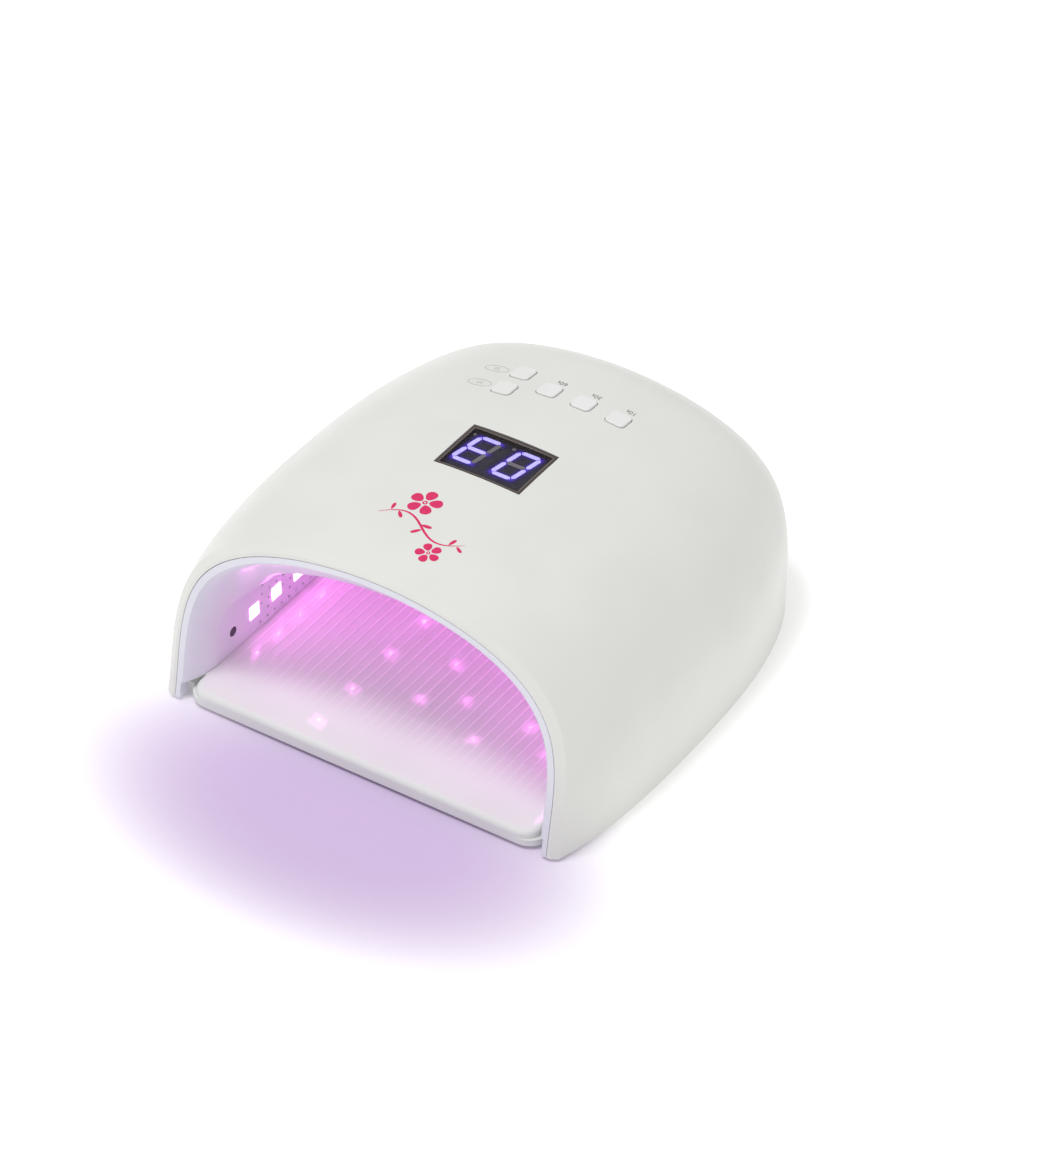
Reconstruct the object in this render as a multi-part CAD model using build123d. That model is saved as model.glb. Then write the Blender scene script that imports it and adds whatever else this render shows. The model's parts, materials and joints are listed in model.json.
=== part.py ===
from build123d import *
import os
from math import cos, pi, radians, sin

# Rechargeable nail curing lamp: arched housing that lifts off a magnetic base tray.
# Millimetres.  X is across the lamp, +Y points to the rear (the hand goes in from -Y), +Z is up.
# The origin is on the table, under the middle of the lamp.  Depths named "t" are measured
# from the front of the mouth: y = t - DEPTH / 2.

# ---- outer body ----
DEPTH = 223.0
HALF_WIDTH = 110.5
WIDEST_T = 91.7
PLAN_LENGTH = 155.3
PLAN_POWER = 2.72
CROWN_Z = 101.7
CROWN_T = 109.0
CROWN_CURVE = 0.00064
FRONT_LEAN = 0.194
TOP_POWERS = (2.19, 1.92)
SIDE_POWERS = (4.16, 4.45)
REAR_ROUND_T = 38.5
REAR_ROUND_POWER = 2.4
REAR_ROUND_WIDTH = 10.0
REAR_ROUND_HEIGHT = 48.8
ARCH_STEPS = 32
RIM_DEPTH = 2.0
RIM_BEVEL = 2.6
WALL = 2.5
FRONT_LIP_T = 6.0
SKIRT_Z = 1.5

# ---- mouth and hand cavity ----
SEAM_HALF_WIDTH = 95.75
SEAM_Z = 93.0
SEAM_GAP = 0.25
MOUTH_POWERS = (1.9, 4.6)
CAVITY_HALF_WIDTH = 86.0
CAVITY_Z = 60.0
CAVITY_POWERS = (2.2, 4.3)
CAVITY_LEAN_T = 62.0
CAVITY_ROUND_T = 52.0
CAVITY_ROUND_WIDTH = 30.0
CAVITY_ROUND_HEIGHT = 22.0
LINER_WALL = 2.0
FLANGE_Z = 9.3
FLANGE_THICK = 2.0
FLANGE_REAR_INSET = 6.0
# depth, half width and height along the cavity, from the lip to the end of its straight part
CAVITY_PATH = ((-0.6, 93.6, 91.2), (1.0, 91.7, 89.4), (3.5, 90.3, 88.0), (8.0, 88.6, 86.0),
               (14.0, 87.3, 82.8), (23.0, 86.5, 76.0), (35.0, 86.1, 67.0), (48.0, 86.0, 61.5),
               (62.0, 86.0, 60.0), (95.0, 86.0, 60.0), (135.0, 86.0, 60.0))
# the same for the liner's outside
LINER_PATH = ((0.0, 95.5, 92.75), (4.0, 94.2, 91.6), (9.0, 91.2, 88.6), (14.0, 89.5, 84.8),
              (23.0, 88.5, 78.0), (35.0, 88.1, 69.0), (48.0, 88.0, 63.5), (62.0, 88.0, 62.0),
              (95.0, 88.0, 62.0), (135.0, 88.0, 62.0))
PANEL_HALF_WIDTH = 86.6
PANEL_FRONT_T = 21.0
PANEL_REAR_T = 150.0
PANEL_TOP_Z = 38.5
PANEL_RADIUS = 13.0

# ---- base tray ----
TRAY_BOTTOM_Z = 1.2
TRAY_STEP_Z = 5.0
TRAY_TOP_Z = 9.0
TRAY_SKIN = 2.2
TRAY_WALL = 2.5
TRAY_INSET = 4.0
TRAY_REAR_INSET = 7.0
TRAY_STEP_IN = 2.5
TONGUE_HALF_WIDTH = 91.0
TONGUE_FRONT_T = 0.6
EAR_FRONT_T = 12.0
TONGUE_RADIUS = 10.0
TRAY_CLEARANCE = 1.0
RIDGE_PITCH = 4.6
RIDGE_COUNT = 35
RIDGE_HEIGHT = 0.2
RIDGE_WIDTH = 0.7
FOOT_RADIUS = 7.0
FOOT_THICK = 2.4
MAGNET_RADIUS = 5.0
MAGNET_THICK = 3.0
DISC_THICK = 1.2

# ---- fixings ----
SCREW_PLACES = ((99.0, 32.0), (103.0, 92.0), (98.0, 150.0))
MAGNET_PLACES = ((100.0, 50.0), (98.0, 132.0))
FOOT_PLACES = ((70.0, 26.0), (78.0, 110.0), (60.0, 196.0))
BOSS_RADIUS = 3.8
PILOT_RADIUS = 1.2

# ---- display and buttons ----
WINDOW_SIZE = (43.0, 31.0)
WINDOW_Y = -3.2
WINDOW_GAP = 0.25
WINDOW_BOTTOM_Z = 99.2
MODULE_SIZE = (40.0, 27.0)
MODULE_X = -1.0
MODULE_Y = -2.5
MODULE_FACE_Z = 98.6
DIGIT_HEIGHT = 20.3
DIGIT_WIDTH = 12.1
DIGIT_PITCH = 20.1
DIGIT_LEFT_X = -19.9
DIGIT_FRONT_Y = -10.5
DIGIT_SLANT = 0.184
SEGMENT_WIDTH = 2.1
SEGMENT_PROUD = 0.15
BUTTON_SIZE = 9.6
BUTTON_RADIUS = 2.2
BUTTON_PROUD = 0.9
BUTTON_GAP = 0.35
BUTTON_TRAVEL = 0.6
BUTTON_PITCH = 17.7
BUTTON_ROW_Y = 51.9
STACK_Y = (43.3, 58.3)

# ---- electronics ----
BOARD_THICK = 1.6
BOARD_TOP_Z = 88.5
BOARD_SIZE = (80.0, 88.0)
BOARD_Y = 22.0
SWITCH_SIZE = 6.0
SWITCH_HEIGHT = 3.4
LED_WINDOW = 6.5
LED_WINDOW_THICK = 2.4
LED_CHIP = 3.5
LED_CHIP_THICK = 1.0
LED_STANDOFF = 5.0
TOP_LEDS = ((0.0, 89.0), (17.0, 109.0), (34.0, 97.0), (34.0, 126.0), (0.0, 146.0))
SHOULDER_LED_X = 59.5
SHOULDER_LEDS = (55.0, 81.0, 111.0, 138.0)
SIDE_LED_Z = 20.8
SIDE_LEDS = (47.5, 64.0, 80.5, 97.0)
IR_Z = 19.7
IR_T = 32.0
IR_RADIUS = 2.5
VENT_RADIUS = 0.65
VENT_COLUMNS = 9
VENT_ROWS = 5
VENT_PITCH = (5.4, 4.7)
VENT_START = (51.5, 12.0)
CELL_RADIUS = 9.25
CELL_LENGTH = 65.0
CELL_Z = 72.5
CELL_T = (163.3, 183.6)
CRADLE_DEPTH = 11.0
JACK_Z = 24.0
JACK_RADIUS = 5.5
JACK_BORE = 2.75


def y_of(t):
    """Model Y of a depth behind the mouth."""
    return t - DEPTH / 2


def box(x0, x1, y0, y1, z0, z1):
    """Box between two corners."""
    return Pos((x0 + x1) / 2, (y0 + y1) / 2, (z0 + z1) / 2) * Box(x1 - x0, y1 - y0, z1 - z0)


def rod(x, y, z0, z1, radius):
    """Upright cylinder from z0 to z1."""
    return Pos(x, y, (z0 + z1) / 2) * Cylinder(radius, z1 - z0)


def mirrored(places):
    """Each place on both sides of the lamp; a place on the centre line only once."""
    return [(side * x, t) for x, t in places for side in ((1, -1) if x else (1,))]


# ---------------------------------------------------------------- outer form
def lean_at(t):
    """How far the section at depth t leans back, per mm of height."""
    return FRONT_LEAN * (1 - t / DEPTH)


def blend(pair, t):
    """Value between its front and rear figures at depth t."""
    return pair[0] + (pair[1] - pair[0]) * t / DEPTH


def rear_drop(t, inset):
    """Share, 0 to 1, of the rear rounding's drop at depth t; its curvature grows from nothing."""
    start = DEPTH - REAR_ROUND_T
    share = min(1.0, max(0.0, t - start) / (DEPTH - inset - start))
    return 1 - (1 - share ** REAR_ROUND_POWER) ** (1 / REAR_ROUND_POWER)


def rear_stations(rear):
    """Depths of the sections round the rear, closer together towards its end."""
    start = DEPTH - REAR_ROUND_T
    return [start + (rear - start) * sin(radians(a)) ** (2 / REAR_ROUND_POWER) for a in range(10, 91, 10)]


def body_half_width(t, inset=0.0):
    """Half width of the body at the table."""
    straight = HALF_WIDTH * (1 - abs((t - WIDEST_T) / PLAN_LENGTH) ** PLAN_POWER) ** (1 / PLAN_POWER)
    return straight - REAR_ROUND_WIDTH * rear_drop(t, inset) - inset


def body_height(t, inset=0.0):
    """Height of the crown of the section that starts at depth t."""
    top_t = t + lean_at(t) * 95
    return CROWN_Z - CROWN_CURVE * (top_t - CROWN_T) ** 2 - REAR_ROUND_HEIGHT * rear_drop(t, inset) - inset


def arch_points(t, half_width, height, powers, lean):
    """Points of the arch |x/w|^p + (z/h)^q = 1 that starts at depth t."""
    points = []
    for step in range(ARCH_STEPS + 1):
        angle = pi * step / ARCH_STEPS
        x = half_width * abs(cos(angle)) ** (2 / powers[0])
        z = height * abs(sin(angle)) ** (2 / powers[1]) if 0 < step < ARCH_STEPS else 0.0
        points.append(Vector(x if angle < pi / 2 else -x, y_of(t) + lean * z, z))
    return points


def arch_parameters():
    """Chord-length parameters of a typical arch, shared by all so that the lofts stay light."""
    points = arch_points(0.0, HALF_WIDTH, CROWN_Z, (2.0, 4.3), 0.0)
    lengths = [0.0]
    for before, after in zip(points, points[1:]):
        lengths.append(lengths[-1] + (after - before).length)
    return [length / lengths[-1] for length in lengths]


def arch_wire(t, half_width, height, powers, lean):
    """Closed wire of a flat-bottomed arch."""
    points = arch_points(t, half_width, height, powers, lean)
    curve = Edge.make_spline(points, parameters=arch_parameters())
    return Wire([curve, Edge.make_line(points[-1], points[0])])


def body_section(t, inset=0.0, extra=0.0):
    """Arch of the outer body at depth t; extra is a further inset, used by the bevelled rim."""
    powers = (blend(TOP_POWERS, t), blend(SIDE_POWERS, t))
    return arch_wire(t, body_half_width(t, inset) - extra, body_height(t, inset) - extra, powers, lean_at(t))


def body_stations(front, inset):
    """Depths of the body's sections, closer together round the rear."""
    start = DEPTH - REAR_ROUND_T
    return [front + (start - front) * k / 12 for k in range(13)] + rear_stations(DEPTH - inset)


def body_solid(front, inset):
    """Solid inside the outer surface moved in by inset."""
    return Solid.make_loft([body_section(t, inset) for t in body_stations(front, inset)])


def crown_point(x, y):
    """Point of the outer surface above (x, y)."""
    z = CROWN_Z
    for _ in range(6):
        t = y + DEPTH / 2 - lean_at(y + DEPTH / 2) * z
        ratio = min(1.0, abs(x) / body_half_width(t))
        z = body_height(t) * (1 - ratio ** blend(TOP_POWERS, t)) ** (1 / blend(SIDE_POWERS, t))
    return z


def crown_plane(x, y, drop=0.0):
    """Plane on the outer surface above (x, y), lowered by drop along its normal."""
    step = 3.0
    slope_x = (crown_point(x + step, y) - crown_point(x - step, y)) / (2 * step)
    slope_y = (crown_point(x, y + step) - crown_point(x, y - step)) / (2 * step)
    normal = Vector(-slope_x, -slope_y, 1).normalized()
    origin = Vector(x, y, crown_point(x, y)) - normal * drop
    return Plane(origin=origin, x_dir=Vector(1, 0, slope_x), z_dir=normal)


# ---------------------------------------------------------------- cavity form
def cavity_solid(path, grow):
    """Trumpet mouth that runs on into a domed chamber; grow thickens its closed rear end."""
    wires = []
    for t, width, height in path:
        share = min(1.0, max(0.0, t) / CAVITY_LEAN_T)
        powers = tuple(m + (c - m) * share for m, c in zip(MOUTH_POWERS, CAVITY_POWERS))
        wires.append(arch_wire(t, width, height, powers, FRONT_LEAN * (1 - share)))
    start, width, height = path[-1]
    for a in (radians(d) for d in (20, 40, 58, 75, 90)):
        t = start + (CAVITY_ROUND_T + grow) * sin(a)
        narrow = width - CAVITY_ROUND_WIDTH * (1 - cos(a))
        low = height - CAVITY_ROUND_HEIGHT * (1 - cos(a))
        wires.append(arch_wire(t, narrow, low, CAVITY_POWERS, 0.0))
    return Solid.make_loft(wires)


def side_panels(grow):
    """Flat recesses in both side walls for the LED windows, vents and sensors."""
    low, high = -5.0, PANEL_TOP_Z + grow
    front, rear = y_of(PANEL_FRONT_T) - grow, y_of(PANEL_REAR_T) + grow
    outline = box(-PANEL_HALF_WIDTH - grow, PANEL_HALF_WIDTH + grow, front, rear, low, high)
    corners = outline.edges().filter_by(Axis.X).sort_by(Axis.Z)[-2:]
    return fillet(corners, PANEL_RADIUS)


def dome_height(x):
    """Height of the chamber's ceiling above x."""
    p, q = CAVITY_POWERS
    return CAVITY_Z * (1 - (abs(x) / CAVITY_HALF_WIDTH) ** p) ** (1 / q)


def dome_plane(x, t, out=0.0):
    """Plane on the chamber's ceiling at (x, t), moved out of the cavity along its normal."""
    slope = (dome_height(x + 1) - dome_height(x - 1)) / 2
    normal = Vector(-slope, 0, 1).normalized()
    origin = Vector(x, y_of(t), dome_height(x)) + normal * out
    return Plane(origin=origin, x_dir=Vector(1, 0, slope), z_dir=normal)


def wall_plane(side, t, z, out=0.0):
    """Plane on the chamber's side wall, its normal pointing out of the cavity."""
    x = side * (PANEL_HALF_WIDTH + out)
    return Plane(origin=(x, y_of(t), z), x_dir=(0, 1, 0), z_dir=(side, 0, 0))


def led_planes(out):
    """Every LED's plane, moved out of the cavity by out."""
    planes = [dome_plane(x, t, out) for x, t in mirrored(TOP_LEDS)]
    planes += [dome_plane(side * SHOULDER_LED_X, t, out) for side in (1, -1) for t in SHOULDER_LEDS]
    planes += [wall_plane(side, t, SIDE_LED_Z, out) for side in (1, -1) for t in SIDE_LEDS]
    return planes


# ---------------------------------------------------------------- plan outlines
def plan_solid(inset, front_t, z0, z1, tongue=None, rear_inset=None):
    """Plate that follows the body's outline in plan, with an optional narrower front tongue."""
    rear = DEPTH - (inset if rear_inset is None else rear_inset)
    start = DEPTH - REAR_ROUND_T
    stations = [front_t + (start - front_t) * k / 8 for k in range(9)] + rear_stations(rear)[2::2]
    right = [(body_half_width(t) - inset, y_of(t)) for t in stations]
    left = [(-x, y) for x, y in reversed(right)]
    front = [left[-1], right[0]]
    if tongue:
        half, tongue_t = tongue
        y, tip_y = y_of(front_t), y_of(tongue_t)
        front = [left[-1], (-half, y), (-half, tip_y), (half, tip_y), (half, y), right[0]]
    outline = Wire([Spline(*right), Line(right[-1], left[0]), Spline(*left), *Polyline(*front).edges()])
    return Pos(0, 0, z0) * extrude(make_face(outline), z1 - z0)


# ---------------------------------------------------------------- buttons
def button_places():
    """Name and centre of each button."""
    places = {"10s": (1.5 * BUTTON_PITCH, BUTTON_ROW_Y), "30s": (0.5 * BUTTON_PITCH, BUTTON_ROW_Y),
              "60s": (-0.5 * BUTTON_PITCH, BUTTON_ROW_Y), "low_heat": (-1.5 * BUTTON_PITCH, STACK_Y[0]),
              "power": (-1.5 * BUTTON_PITCH, STACK_Y[1])}
    return places


def rounded_block(plane, size, radius, low, high):
    """Rounded square block on a plane, from low to high along its normal."""
    return plane * (Pos(0, 0, low) * extrude(RectangleRounded(size, size, radius), high - low))


def button_drop(plane):
    """Distance along the button's normal from the outer surface down to its switch."""
    return (plane.origin.Z - BOARD_TOP_Z - SWITCH_HEIGHT) / plane.z_dir.Z


def button_cap(plane):
    """Cap with a soft top edge, a retaining flange inside the shell and a stem."""
    outline = RectangleRounded(BUTTON_SIZE, BUTTON_SIZE, BUTTON_RADIUS)
    cap = Pos(0, 0, -4.0) * extrude(outline, 4.0 + BUTTON_PROUD)
    cap = fillet(cap.faces().sort_by(Axis.Z)[-1].edges(), 0.6)
    flange = RectangleRounded(BUTTON_SIZE + 2, BUTTON_SIZE + 2, BUTTON_RADIUS)
    cap += Pos(0, 0, -4.2) * extrude(flange, 0.9)
    stem_low = -button_drop(plane) + 0.9
    cap += Pos(0, 0, (stem_low - 4.0) / 2) * Cylinder(1.6, -4.0 - stem_low)
    return plane * cap


def switch_plunger(plane):
    """Round plunger between the switch body and the button's stem."""
    low = -button_drop(plane) - 0.3
    return plane * (Pos(0, 0, low + 0.6) * Cylinder(1.4, 1.2))


# ---------------------------------------------------------------- housing pieces
def shell_bosses(body):
    """Screw bosses: long ones down to the liner flange, short ones down to the control board."""
    bosses = [rod(x, y_of(t), FLANGE_Z + 4.2, 90.0, BOSS_RADIUS) for x, t in mirrored(SCREW_PLACES)]
    bosses += [rod(x, y, BOARD_TOP_Z, 105.0, 3.0) for x, y in board_screw_places()]
    return [boss & body for boss in bosses]


def board_screw_places():
    """Centres of the control board's four screws."""
    half_x = BOARD_SIZE[0] / 2 - 4
    half_y = BOARD_SIZE[1] / 2 - 4
    return [(sx * half_x, BOARD_Y + sy * half_y) for sx in (1, -1) for sy in (1, -1)]


def jack_cut():
    """Round opening for the charging jack in the rear wall."""
    return Pos(0, DEPTH / 2, JACK_Z) * Rot(90, 0, 0) * Cylinder(JACK_RADIUS + 0.2, 20)


def outer_body():
    """Whole outer form with its bevelled front rim."""
    rim = Solid.make_loft([body_section(0.0, 0, RIM_BEVEL), body_section(RIM_DEPTH)], ruled=True)
    return body_solid(RIM_DEPTH, 0.0) + rim


def top_shell(body, tray_pocket):
    """Arched outer shell, open below, with a front lip round the mouth."""
    shell = body - body_solid(FRONT_LIP_T, WALL)
    seam = arch_wire(-10.0, SEAM_HALF_WIDTH, SEAM_Z, MOUTH_POWERS, FRONT_LEAN)
    shell -= extrude(Face(seam), 25.0, dir=(0, 1, 0))
    shell -= box(-150, 150, -150, 150, -5, SKIRT_Z)
    for boss in shell_bosses(body):
        shell += boss
    shell -= [rod(x, y_of(t), FLANGE_Z, FLANGE_Z + 20, PILOT_RADIUS) for x, t in mirrored(SCREW_PLACES)]
    shell -= [rod(x, y, BOARD_TOP_Z - 1, BOARD_TOP_Z + 4, 1.0) for x, y in board_screw_places()]
    width, depth = (size + 2 * WINDOW_GAP for size in WINDOW_SIZE)
    shell -= box(-width / 2, width / 2, WINDOW_Y - depth / 2, WINDOW_Y + depth / 2, 90, 110)
    hole = BUTTON_SIZE + 2 * BUTTON_GAP
    for x, y in button_places().values():
        shell -= rounded_block(crown_plane(x, y), hole, BUTTON_RADIUS + BUTTON_GAP, -8, 5)
    return shell - jack_cut() - tray_pocket


def inner_liner(tray_pocket):
    """Reflective liner: flared lip, domed chamber and a flange along the tray."""
    liner = cavity_solid(LINER_PATH, LINER_WALL) + side_panels(LINER_WALL)
    liner += plan_solid(WALL + 1.2, FRONT_LIP_T + 4, FLANGE_Z, FLANGE_Z + FLANGE_THICK,
                        rear_inset=FLANGE_REAR_INSET)
    liner += [rod(x, y_of(t), FLANGE_Z, FLANGE_Z + 4, 4.4) for x, t in mirrored(SCREW_PLACES)]
    liner += [rod(x, y_of(t), FLANGE_Z, FLANGE_Z + 3, 6.2) for x, t in mirrored(MAGNET_PLACES)]
    liner += liner_posts()
    liner -= cavity_solid(CAVITY_PATH, 0.0)
    liner -= side_panels(0.0)
    liner -= box(-150, 150, -150, 150, -5, SKIRT_Z)
    liner -= tray_pocket
    liner -= [rod(x, y_of(t), 0, 20, 1.65) for x, t in mirrored(SCREW_PLACES)]
    liner -= [rod(x, y_of(t), 0, FLANGE_Z + 2.4, 3.1) for x, t in mirrored(SCREW_PLACES)]
    liner -= [rod(x, y_of(t), FLANGE_Z + 0.6, 20, MAGNET_RADIUS + 0.1) for x, t in mirrored(MAGNET_PLACES)]
    side = LED_WINDOW + 0.2
    liner -= [plane * Box(side, side, 8.0) for plane in led_planes(1.0)]
    for z, t, radius in wall_holes():
        liner -= Pos(0, y_of(t), z) * Rot(0, 90, 0) * Cylinder(radius, 2 * PANEL_HALF_WIDTH + 12)
    return liner


def liner_posts():
    """Posts under the LED boards and ribs under the battery cradle."""
    posts = [rod(x, y_of(t), 50, CAVITY_Z + LED_STANDOFF, 2.5) for x in (-38, 38) for t in (84, 149)]
    for plane, reach in led_board_planes()[1:]:
        posts += [plane * (Pos(along[0], along[1], -3.5) * Cylinder(2.2, 7.0)) for along in reach]
    rear = (CELL_T[0] - 8, CELL_T[1] + 8)
    posts += [box(x - 4, x + 4, y_of(rear[0]), y_of(rear[1]), 45, CELL_Z - CRADLE_DEPTH) for x in (-50, 50)]
    return posts


def wall_holes():
    """Height, depth and radius of the vents and the sensor holes in both side walls."""
    holes = [(IR_Z, IR_T, IR_RADIUS)]
    for column in range(VENT_COLUMNS):
        for row in range(VENT_ROWS):
            z = VENT_START[1] + row * VENT_PITCH[1]
            t = VENT_START[0] + column * VENT_PITCH[0] + 0.15 * (z - VENT_START[1])
            clear = all(abs(t - led) > 5 or abs(z - SIDE_LED_Z) > 5 for led in SIDE_LEDS)
            if clear:
                holes.append((z, t, VENT_RADIUS))
    return holes


def shell_screws():
    """Screws up through the liner flange into the shell's long bosses."""
    low = FLANGE_Z + 0.3
    return [rod(x, y_of(t), low, low + 2.1, 2.8) + rod(x, y_of(t), low + 2, FLANGE_Z + 14, PILOT_RADIUS)
            for x, t in mirrored(SCREW_PLACES)]


def steel_discs():
    """Steel keepers in the liner flange, above the tray's magnets."""
    low = FLANGE_Z + 0.6
    return [rod(x, y_of(t), low, low + DISC_THICK, MAGNET_RADIUS) for x, t in mirrored(MAGNET_PLACES)]


# ---------------------------------------------------------------- display pieces
def display_window(body):
    """Smoked lens that follows the crown."""
    half_x, half_y = WINDOW_SIZE[0] / 2, WINDOW_SIZE[1] / 2
    return body & box(-half_x, half_x, WINDOW_Y - half_y, WINDOW_Y + half_y, WINDOW_BOTTOM_Z, 110)


def display_bezel():
    """Dark frame under the lens, round the module."""
    half_x, half_y = WINDOW_SIZE[0] / 2, WINDOW_SIZE[1] / 2
    frame = box(-half_x, half_x, WINDOW_Y - half_y, WINDOW_Y + half_y, BOARD_TOP_Z, WINDOW_BOTTOM_Z)
    return frame - module_block(0.2, 80, 110)


def module_block(grow, low, high):
    """Block over the module's outline, grown all round."""
    half_x, half_y = MODULE_SIZE[0] / 2 + grow, MODULE_SIZE[1] / 2 + grow
    return box(MODULE_X - half_x, MODULE_X + half_x, MODULE_Y - half_y, MODULE_Y + half_y, low, high)


def display_module():
    """Two-digit module body."""
    return module_block(0.0, BOARD_TOP_Z, MODULE_FACE_Z)


def segment(digit, column0, row0, column1, row1):
    """One bar with pointed ends between two corners of the digit's 1 x 2 grid."""
    left = DIGIT_LEFT_X + digit * DIGIT_PITCH + SEGMENT_WIDTH / 2
    width = DIGIT_WIDTH - SEGMENT_WIDTH
    height = (DIGIT_HEIGHT - SEGMENT_WIDTH) / 2
    half = SEGMENT_WIDTH / 2
    start = Vector(left + column0 * width, row0 * height)
    end = Vector(left + column1 * width, row1 * height)
    along = (end - start).normalized()
    across = Vector(-along.Y, along.X) * half
    tip = along * 0.35
    corners = [start + tip, start + tip + along * half + across, end - tip - along * half + across,
               end - tip, end - tip - along * half - across, start + tip + along * half - across]
    slanted = [(p.X + DIGIT_SLANT * (p.Y + half), p.Y + half + DIGIT_FRONT_Y) for p in corners]
    return Pos(0, 0, MODULE_FACE_Z) * extrude(make_face(Polyline(*slanted, close=True)), SEGMENT_PROUD)


def segments():
    """Lit and unlit bars of both digits; the display reads 03 from the rear."""
    bars = {"front": (0, 0, 1, 0), "middle": (0, 1, 1, 1), "rear": (0, 2, 1, 2), "front_left": (0, 0, 0, 1),
            "front_right": (1, 0, 1, 1), "rear_left": (0, 1, 0, 2), "rear_right": (1, 1, 1, 2)}
    dark = {0: ("front_right", "rear_right"), 1: ("middle",)}
    lit = [segment(d, *grid) for d in dark for name, grid in bars.items() if name not in dark[d]]
    unlit = [segment(d, *bars[name]) for d in dark for name in dark[d]]
    dot_x, dot_y = DIGIT_LEFT_X + 0.9, DIGIT_FRONT_Y + DIGIT_HEIGHT - 1.0
    unlit += [rod(dot_x + d * DIGIT_PITCH, dot_y, MODULE_FACE_Z, MODULE_FACE_Z + SEGMENT_PROUD, 0.9)
              for d in dark]
    return lit, unlit


# ---------------------------------------------------------------- electronics
def control_board():
    """Board under the crown, screwed to the shell's short bosses."""
    half_x, half_y = BOARD_SIZE[0] / 2, BOARD_SIZE[1] / 2
    board = box(-half_x, half_x, BOARD_Y - half_y, BOARD_Y + half_y, BOARD_TOP_Z - BOARD_THICK, BOARD_TOP_Z)
    return board - [rod(x, y, 80, 100, 1.4) for x, y in board_screw_places()]


def board_screws():
    """Small screws from below the control board."""
    low = BOARD_TOP_Z - BOARD_THICK
    return [rod(x, y, low - 1.6, low, 2.4) + rod(x, y, low - 0.1, BOARD_TOP_Z + 3.5, 1.0)
            for x, y in board_screw_places()]


def tact_switches():
    """Square switch bodies, each with a well for its plunger."""
    switches = []
    for x, y in button_places().values():
        plane = crown_plane(x, y)
        foot = plane.origin - plane.z_dir * button_drop(plane)
        body = Box(SWITCH_SIZE, SWITCH_SIZE, SWITCH_HEIGHT)
        body = Pos(foot.X, foot.Y, BOARD_TOP_Z + SWITCH_HEIGHT / 2) * body
        well = plane * (Pos(0, 0, -button_drop(plane)) * Cylinder(1.6, 2.4))
        switches.append(body - well)
    return switches


def buzzer():
    """Round sounder on the control board."""
    return rod(24.0, 26.0, BOARD_TOP_Z, BOARD_TOP_Z + 3.5, 5.0)


def led_board_planes():
    """Each LED board's plane and the places of its posts."""
    shoulder_t = (SHOULDER_LEDS[0] + SHOULDER_LEDS[-1]) / 2
    side_t = (SIDE_LEDS[0] + SIDE_LEDS[-1]) / 2
    planes = [(Plane(origin=(0, y_of(116.5), CAVITY_Z + LED_STANDOFF)), ())]
    for side in (1, -1):
        planes.append((dome_plane(side * SHOULDER_LED_X, shoulder_t, LED_STANDOFF), ((0, 46), (0, -46))))
        planes.append((wall_plane(side, side_t, SIDE_LED_Z, LED_STANDOFF), ((29, 0), (-29, 0))))
    return planes


def led_boards():
    """Aluminium LED boards: flat over the dome, tilted at its shoulders, upright at its sides."""
    names = ("top_led_board", "right_shoulder_led_board", "right_side_led_board",
             "left_shoulder_led_board", "left_side_led_board")
    sizes = ((84, 73), (14, 98), (64, 12), (14, 98), (64, 12))
    return {name: plane * (Pos(0, 0, BOARD_THICK / 2) * Box(*size, BOARD_THICK))
            for name, (plane, _), size in zip(names, led_board_planes(), sizes)}


def led_chips():
    """One chip on its board behind each window."""
    low = CAVITY_Z + LED_STANDOFF - LED_CHIP_THICK / 2
    chips = [Pos(x, y_of(t), low) * Box(LED_CHIP, LED_CHIP, LED_CHIP_THICK) for x, t in mirrored(TOP_LEDS)]
    planes = led_planes(LED_STANDOFF - LED_CHIP_THICK / 2)[len(chips):]
    return chips + [plane * Box(LED_CHIP, LED_CHIP, LED_CHIP_THICK) for plane in planes]


def led_windows():
    """Square lenses, a hair proud of the cavity's surface."""
    return [plane * Box(LED_WINDOW, LED_WINDOW, LED_WINDOW_THICK) for plane in led_planes(0.9)]


def sensor(side):
    """Round infrared part behind the hole in a side wall."""
    plane = wall_plane(side, IR_T, IR_Z, 1.2)
    return plane * (Cylinder(IR_RADIUS - 0.1, 2.0) + Pos(0, 0, 3.0) * Cylinder(3.0, 4.0))


def battery_cells():
    """Four cells in two rows across the lamp."""
    cell = Rot(0, 90, 0) * Cylinder(CELL_RADIUS, CELL_LENGTH)
    return [Pos(side * (CELL_LENGTH / 2 + 1), y_of(t), CELL_Z) * cell for side in (1, -1) for t in CELL_T]


def battery_holder():
    """Cradle under the cells with end walls and a rib between the pairs."""
    half_x = CELL_LENGTH + 3
    y0, y1 = y_of(CELL_T[0]) - 10, y_of(CELL_T[1]) + 10
    holder = box(-half_x, half_x, y0, y1, CELL_Z - CRADLE_DEPTH, CELL_Z - 2)
    for t in CELL_T:
        trough = Pos(0, y_of(t), CELL_Z) * Rot(0, 90, 0)
        holder -= trough * Cylinder(CELL_RADIUS + 0.1, 2 * CELL_LENGTH + 2.4)
    return holder


def charging_jack():
    """Barrel socket in the rear wall with a square body inside."""
    rear = DEPTH / 2
    body = box(-6, 6, rear - WALL - 15, rear - WALL - 0.5, JACK_Z - 6, JACK_Z + 6)
    body += Pos(0, rear - 4.0, JACK_Z) * Rot(90, 0, 0) * Cylinder(JACK_RADIUS, 8)
    body -= Pos(0, rear - 4.0, JACK_Z) * Rot(90, 0, 0) * Cylinder(JACK_BORE, 16)
    return body + Pos(0, rear - 7.0, JACK_Z) * Rot(90, 0, 0) * Cylinder(0.8, 12)


def charging_board():
    """Upright board that carries the jack, standing on the liner flange."""
    y = DEPTH / 2 - WALL - 15
    return box(-22, 22, y - BOARD_THICK, y, FLANGE_Z + FLANGE_THICK + 0.1, JACK_Z + 16)


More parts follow.
